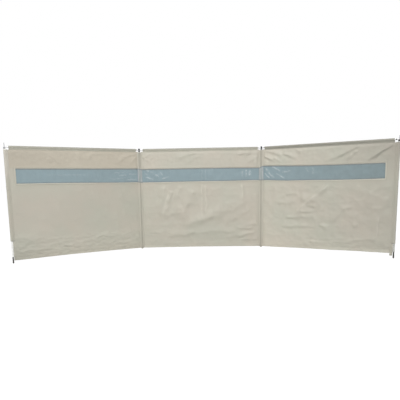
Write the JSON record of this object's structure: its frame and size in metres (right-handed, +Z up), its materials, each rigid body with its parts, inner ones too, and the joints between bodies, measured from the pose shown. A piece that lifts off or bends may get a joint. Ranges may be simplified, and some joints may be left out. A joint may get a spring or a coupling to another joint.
{
  "type": "beach windbreak",
  "caption": "Fabric windbreak in a shallow C: panels with a clear window strip between upright poles joined by ridge bars, the end bays swinging on the inner poles.",
  "frame": {"origin": "centre of the bounding box at ground level, in front of the middle bay", "axes": "+X along the middle bay to the right as seen from the front, +Y towards the back, +Z up; the window side faces -Y"},
  "size_m": [4.0678, 0.8186, 1.272],
  "materials": {
    "coated_fabric": "coated woven polyester, beige, satin",
    "ridge_fabric": "coated woven polyester in shade, beige grey",
    "window_film": "blue-tinted clear film, glossy, lightly creased",
    "webbing": "woven webbing, beige",
    "pole_steel": "zinc-plated steel tube, satin",
    "bar_steel": "zinc-plated steel tube, satin",
    "dark_spigot": "dark painted steel",
    "foot_rubber": "matt black rubber"
  },
  "bodies": {
    "middle_bay": {"pole_2": "pole_steel", "pole_3": "pole_steel", "spigot_2": "dark_spigot", "spigot_3": "dark_spigot", "foot_2": "coated_fabric", "foot_3": "coated_fabric", "pole_pocket_2": "coated_fabric", "pole_pocket_3": "coated_fabric", "ridge_bar_middle": "bar_steel", "ridge_pocket_middle": "ridge_fabric", "upper_panel_middle": "coated_fabric", "lower_panel_middle": "coated_fabric", "window_middle": "window_film", "hem_middle": "coated_fabric"},
    "left_bay": {"pole_1": "pole_steel", "spigot_1": "pole_steel", "foot_1": "foot_rubber", "pole_pocket_1": "coated_fabric", "ridge_bar_left": "bar_steel", "ridge_pocket_left": "ridge_fabric", "upper_panel_left": "coated_fabric", "lower_panel_left": "coated_fabric", "end_panel_left": "coated_fabric", "window_left": "window_film", "hem_left": "coated_fabric"},
    "right_bay": {"pole_4": "pole_steel", "spigot_4": "dark_spigot", "foot_4": "foot_rubber", "pole_pocket_4": "coated_fabric", "ridge_bar_right": "bar_steel", "ridge_pocket_right": "ridge_fabric", "upper_panel_right": "coated_fabric", "lower_panel_right": "coated_fabric", "end_panel_right": "coated_fabric", "window_right": "window_film", "hem_right": "coated_fabric", "peg_loop_right": "webbing"}
  },
  "joints": [
    {"name": "left_bay_swing", "type": "hinge", "parent": "middle_bay", "child": "left_bay", "pos_m": [-0.75, 0.39744, 0], "axis": [0, 0, 1], "range_deg": [-142, 78]},
    {"name": "right_bay_swing", "type": "hinge", "parent": "middle_bay", "child": "right_bay", "pos_m": [0.75, 0.39744, 0], "axis": [0, 0, -1], "range_deg": [-142, 78]}
  ]
}
